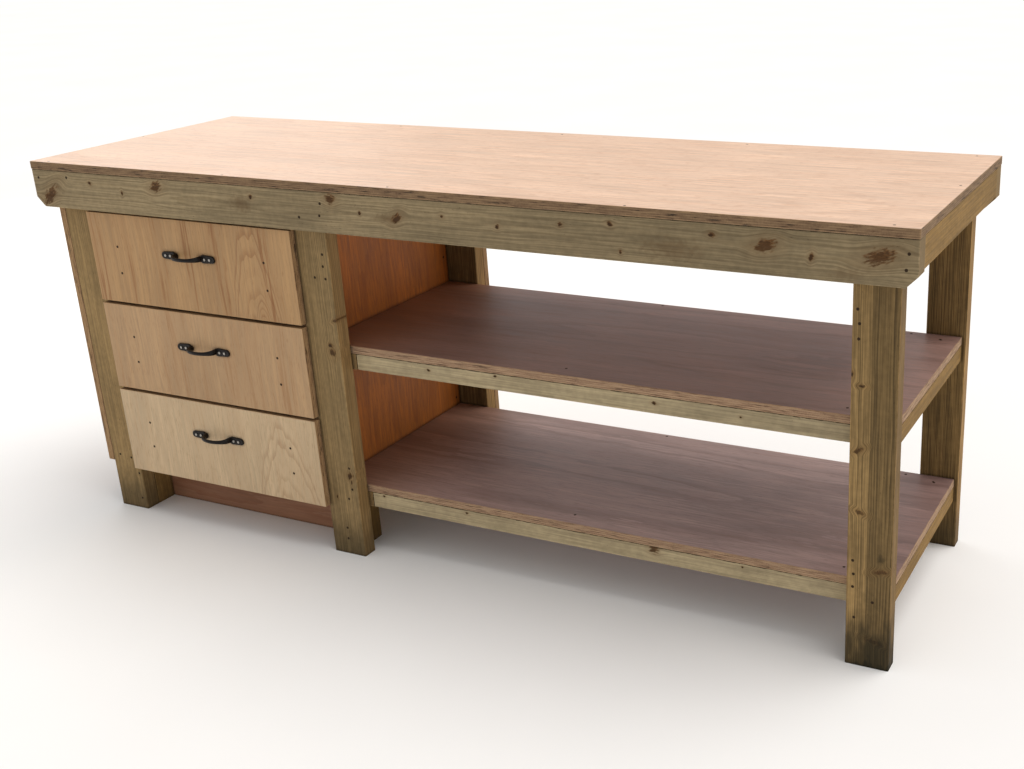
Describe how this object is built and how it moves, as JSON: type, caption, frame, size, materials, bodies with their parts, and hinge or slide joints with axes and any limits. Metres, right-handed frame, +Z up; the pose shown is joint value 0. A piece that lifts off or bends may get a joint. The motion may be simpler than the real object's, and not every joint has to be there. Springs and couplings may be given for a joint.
{
  "type": "workbench",
  "caption": "Timber workbench: ply top on a treated softwood frame, a stack of drawers with iron pulls on the left and open shelves on the right.",
  "frame": {"origin": "on the floor, under the middle of the worktop", "axes": "+Z up, +X to the right along the worktop, +Y to the back, so the drawers open towards -Y"},
  "size_m": [2.12, 0.6849, 0.9],
  "materials": {
    "worktop_ply": "matt hardwood-faced plywood",
    "drawer_ply": "matt hardwood-faced plywood, grain upright",
    "panel_ply": "matt red-brown hardwood-faced plywood",
    "shelf_ply": "matt hardwood-faced plywood",
    "box_ply": "matt plywood",
    "treated_timber": "planed green-treated softwood",
    "black_iron": "black lacquer",
    "screw_steel": "bright zinc",
    "slide_steel": "bright zinc"
  },
  "bodies": {
    "bench": {"cross_rail_left": "treated_timber", "cross_rail_middle": "treated_timber", "cross_rail_right": "treated_timber", "divider_panel": "panel_ply", "drawer_slides_outer": "slide_steel", "foot_block_left": "treated_timber", "foot_block_middle": "treated_timber", "foot_block_right": "treated_timber", "front_rail": "treated_timber", "leg_front_left": "treated_timber", "leg_front_middle": "treated_timber", "leg_front_right": "treated_timber", "leg_rear_left": "treated_timber", "leg_rear_middle": "treated_timber", "leg_rear_right": "treated_timber", "lower_shelf_board": "shelf_ply", "lower_shelf_front_rail": "treated_timber", "lower_shelf_left_rail": "treated_timber", "lower_shelf_rear_rail": "treated_timber", "lower_shelf_right_rail": "treated_timber", "plinth_board": "panel_ply", "rear_rail": "treated_timber", "side_panel": "panel_ply", "slide_bearer_bottom": "treated_timber", "slide_bearer_middle": "treated_timber", "slide_bearer_top": "treated_timber", "upper_shelf_board": "shelf_ply", "upper_shelf_front_rail": "treated_timber", "upper_shelf_left_rail": "treated_timber", "upper_shelf_rear_rail": "treated_timber", "upper_shelf_right_rail": "treated_timber", "worktop": "worktop_ply"},
    "drawer_bottom": {"bottom_drawer_box_back": "box_ply", "bottom_drawer_box_bottom": "box_ply", "bottom_drawer_box_front": "box_ply", "bottom_drawer_box_left": "box_ply", "bottom_drawer_box_right": "box_ply", "bottom_drawer_front": "drawer_ply", "bottom_drawer_handle": "black_iron", "bottom_drawer_handle_screws": "screw_steel", "bottom_drawer_slide_inner": "slide_steel"},
    "drawer_middle": {"middle_drawer_box_back": "box_ply", "middle_drawer_box_bottom": "box_ply", "middle_drawer_box_front": "box_ply", "middle_drawer_box_left": "box_ply", "middle_drawer_box_right": "box_ply", "middle_drawer_front": "drawer_ply", "middle_drawer_handle": "black_iron", "middle_drawer_handle_screws": "screw_steel", "middle_drawer_slide_inner": "slide_steel"},
    "drawer_top": {"top_drawer_box_back": "box_ply", "top_drawer_box_bottom": "box_ply", "top_drawer_box_front": "box_ply", "top_drawer_box_left": "box_ply", "top_drawer_box_right": "box_ply", "top_drawer_front": "drawer_ply", "top_drawer_handle": "black_iron", "top_drawer_handle_screws": "screw_steel", "top_drawer_slide_inner": "slide_steel"}
  },
  "joints": [
    {"name": "bottom_drawer_slide", "type": "slide", "parent": "bench", "child": "drawer_bottom", "axis": [0, -1, 0], "range_m": [0, 0.37]},
    {"name": "middle_drawer_slide", "type": "slide", "parent": "bench", "child": "drawer_middle", "axis": [0, -1, 0], "range_m": [0, 0.37]},
    {"name": "top_drawer_slide", "type": "slide", "parent": "bench", "child": "drawer_top", "axis": [0, -1, 0], "range_m": [0, 0.37]}
  ]
}
